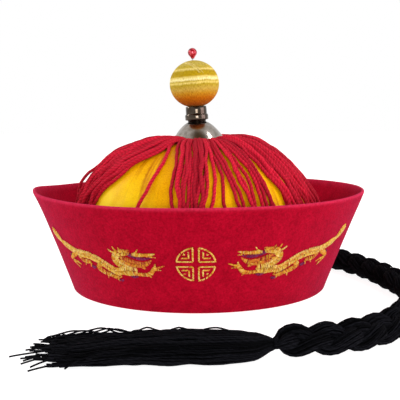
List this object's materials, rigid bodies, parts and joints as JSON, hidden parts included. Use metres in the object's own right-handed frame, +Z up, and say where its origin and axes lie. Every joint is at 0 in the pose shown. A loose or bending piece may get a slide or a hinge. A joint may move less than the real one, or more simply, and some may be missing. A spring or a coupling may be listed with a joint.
{
  "type": "mandarin hat",
  "caption": "Round hat with a flaring red felt brim, a padded yellow crown under red yarn, a ball finial on a metal cap, embroidered dragons and a long black braid ending in a tassel.",
  "frame": {"origin": "middle of the hat on the surface that it stands on, at the bottom edge of the brim", "axes": "+Z up through the crown, -Y towards the embroidered front, +Y towards the back where the braid is sewn on, +X towards the wearer's left"},
  "size_m": [0.2779, 0.3967, 0.1791],
  "materials": {
    "felt": "matt crimson wool felt",
    "satin": "yellow satin with a soft sheen",
    "red_yarn": "twisted crimson yarn",
    "dark_metal": "polished, darkened metal",
    "silk": "wound yellow silk thread",
    "red_bead": "glossy red pearl",
    "pin_steel": "plain steel wire",
    "gold_thread": "metallic gold embroidery thread",
    "accent_thread": "dark purple embroidery thread",
    "black_yarn": "loosely twisted black yarn"
  },
  "bodies": {
    "root": {"brim": "felt", "crown": "satin", "yarn_fringe": "red_yarn", "cap": "dark_metal", "collar": "dark_metal", "finial_ball": "silk", "pin_bead": "red_bead", "pin_shank": "pin_steel", "queue_root": "black_yarn", "queue_braid": "black_yarn", "queue_tie": "black_yarn", "queue_tassel": "black_yarn"}
  },
  "joints": []
}
